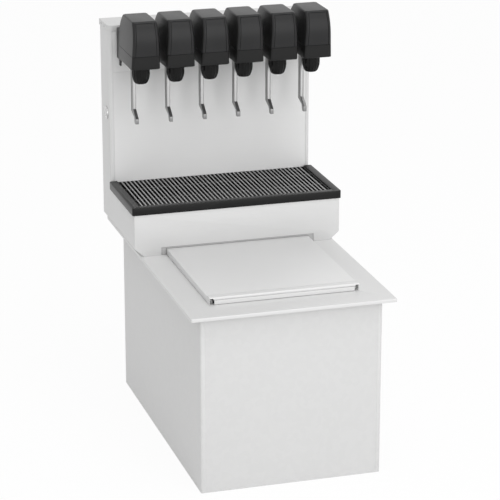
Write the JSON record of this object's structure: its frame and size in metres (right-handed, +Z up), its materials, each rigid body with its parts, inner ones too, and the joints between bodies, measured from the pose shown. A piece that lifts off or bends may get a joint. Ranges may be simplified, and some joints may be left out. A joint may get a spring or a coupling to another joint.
{
  "type": "drop-in soda dispenser",
  "caption": "Drop-in soda dispenser: an ice bin with a flat steel deck and sliding lid, a tower with a row of black valves and cup levers over a slotted drip tray.",
  "frame": {"origin": "on the floor of the cabinet, under the middle of the deck", "axes": "+X to the right as the customer sees it, +Y from the customer to the back, +Z up"},
  "size_m": [0.5922, 0.91, 1.1275],
  "materials": {
    "brushed_stainless": "satin",
    "galvanised_sheet": "satin",
    "foam": "matte",
    "liner_plastic": "satin",
    "cast_aluminium": "matte",
    "grey_plastic": "satin",
    "stainless_tube": "satin",
    "gasket_rubber": "matte",
    "screw_steel": "satin",
    "plated_lock": "satin",
    "tray_plastic": "satin",
    "cup_rest_plastic": "satin",
    "transformer_steel": "satin",
    "diffuser_plastic": "satin",
    "solenoid_core": "satin",
    "block_plastic": "satin",
    "valve_plastic": "satin",
    "nozzle_plastic": "satin",
    "lever_steel": "satin"
  },
  "bodies": {
    "cabinet": {"cabinet_shell": "galvanised_sheet", "cabinet_foam": "foam", "bin_liner": "liner_plastic", "cold_plate": "cast_aluminium", "bin_drain": "grey_plastic", "inlet_stubs": "stainless_tube", "syrup_tubes": "stainless_tube", "soda_manifold": "stainless_tube", "deck": "brushed_stainless", "deck_gasket": "gasket_rubber", "lid_runners": "liner_plastic", "side_panel_left": "brushed_stainless", "side_panel_right": "brushed_stainless", "console_front": "brushed_stainless", "back_panel": "brushed_stainless", "splash_panel": "brushed_stainless", "valve_panel": "brushed_stainless", "tower_cap": "brushed_stainless", "cap_screws": "screw_steel", "key_bezel": "plated_lock", "drain_cup": "grey_plastic", "transformer": "transformer_steel", "lever_pins": "screw_steel", "diffusers": "diffuser_plastic", "solenoids": "solenoid_core", "valve_block_1": "block_plastic", "valve_block_2": "block_plastic", "valve_block_3": "block_plastic", "valve_block_4": "block_plastic", "valve_block_5": "block_plastic", "valve_block_6": "block_plastic", "valve_body_1": "valve_plastic", "valve_body_2": "valve_plastic", "valve_body_3": "valve_plastic", "valve_body_4": "valve_plastic", "valve_body_5": "valve_plastic", "valve_body_6": "valve_plastic", "valve_cover_1": "valve_plastic", "valve_cover_2": "valve_plastic", "valve_cover_3": "valve_plastic", "valve_cover_4": "valve_plastic", "valve_cover_5": "valve_plastic", "valve_cover_6": "valve_plastic"},
    "lid": {"lid": "brushed_stainless", "lid_grip": "brushed_stainless"},
    "key_barrel": {"key_barrel": "plated_lock"},
    "drip_tray": {"drip_tray": "tray_plastic"},
    "cup_rest": {"cup_rest": "cup_rest_plastic"},
    "nozzle_1": {"nozzle_1": "nozzle_plastic"},
    "lever_1": {"lever_1": "lever_steel"},
    "nozzle_2": {"nozzle_2": "nozzle_plastic"},
    "lever_2": {"lever_2": "lever_steel"},
    "nozzle_3": {"nozzle_3": "nozzle_plastic"},
    "lever_3": {"lever_3": "lever_steel"},
    "nozzle_4": {"nozzle_4": "nozzle_plastic"},
    "lever_4": {"lever_4": "lever_steel"},
    "nozzle_5": {"nozzle_5": "nozzle_plastic"},
    "lever_5": {"lever_5": "lever_steel"},
    "nozzle_6": {"nozzle_6": "nozzle_plastic"},
    "lever_6": {"lever_6": "lever_steel"}
  },
  "joints": [
    {"name": "lid_slide", "type": "slide", "parent": "cabinet", "child": "lid", "axis": [0, 1, 0], "range_m": [0, 0.235]},
    {"name": "key_turn", "type": "hinge", "parent": "cabinet", "child": "key_barrel", "pos_m": [-0.2911, 0.363, 0.8215], "axis": [-1, 0, 0], "range_deg": [0, 90]},
    {"name": "tray_lift", "type": "slide", "parent": "cabinet", "child": "drip_tray", "axis": [0, 0, 1], "range_m": [0, 0.08]},
    {"name": "cup_rest_lift", "type": "slide", "parent": "drip_tray", "child": "cup_rest", "axis": [0, 0, 1], "range_m": [0, 0.08]},
    {"name": "lever_swing_1", "type": "hinge", "parent": "cabinet", "child": "lever_1", "pos_m": [-0.2405, 0.254, 0.9885], "axis": [1, 0, 0], "range_deg": [0, 12], "stiffness_Nm_per_rad": 0.35, "springref_deg": -5.73},
    {"name": "lever_swing_2", "type": "hinge", "parent": "cabinet", "child": "lever_2", "pos_m": [-0.1443, 0.254, 0.9885], "axis": [1, 0, 0], "range_deg": [0, 12], "stiffness_Nm_per_rad": 0.35, "springref_deg": -5.73},
    {"name": "lever_swing_3", "type": "hinge", "parent": "cabinet", "child": "lever_3", "pos_m": [-0.0481, 0.254, 0.9885], "axis": [1, 0, 0], "range_deg": [0, 12], "stiffness_Nm_per_rad": 0.35, "springref_deg": -5.73},
    {"name": "lever_swing_4", "type": "hinge", "parent": "cabinet", "child": "lever_4", "pos_m": [0.0481, 0.254, 0.9885], "axis": [1, 0, 0], "range_deg": [0, 12], "stiffness_Nm_per_rad": 0.35, "springref_deg": -5.73},
    {"name": "lever_swing_5", "type": "hinge", "parent": "cabinet", "child": "lever_5", "pos_m": [0.1443, 0.254, 0.9885], "axis": [1, 0, 0], "range_deg": [0, 12], "stiffness_Nm_per_rad": 0.35, "springref_deg": -5.73},
    {"name": "lever_swing_6", "type": "hinge", "parent": "cabinet", "child": "lever_6", "pos_m": [0.2405, 0.254, 0.9885], "axis": [1, 0, 0], "range_deg": [0, 12], "stiffness_Nm_per_rad": 0.35, "springref_deg": -5.73},
    {"name": "nozzle_twist_1", "type": "hinge", "parent": "cabinet", "child": "nozzle_1", "pos_m": [-0.2405, 0.168, 0.9985], "axis": [0, 0, 1], "range_deg": [0, 40]},
    {"name": "nozzle_twist_2", "type": "hinge", "parent": "cabinet", "child": "nozzle_2", "pos_m": [-0.1443, 0.168, 0.9985], "axis": [0, 0, 1], "range_deg": [0, 40]},
    {"name": "nozzle_twist_3", "type": "hinge", "parent": "cabinet", "child": "nozzle_3", "pos_m": [-0.0481, 0.168, 0.9985], "axis": [0, 0, 1], "range_deg": [0, 40]},
    {"name": "nozzle_twist_4", "type": "hinge", "parent": "cabinet", "child": "nozzle_4", "pos_m": [0.0481, 0.168, 0.9985], "axis": [0, 0, 1], "range_deg": [0, 40]},
    {"name": "nozzle_twist_5", "type": "hinge", "parent": "cabinet", "child": "nozzle_5", "pos_m": [0.1443, 0.168, 0.9985], "axis": [0, 0, 1], "range_deg": [0, 40]},
    {"name": "nozzle_twist_6", "type": "hinge", "parent": "cabinet", "child": "nozzle_6", "pos_m": [0.2405, 0.168, 0.9985], "axis": [0, 0, 1], "range_deg": [0, 40]}
  ]
}
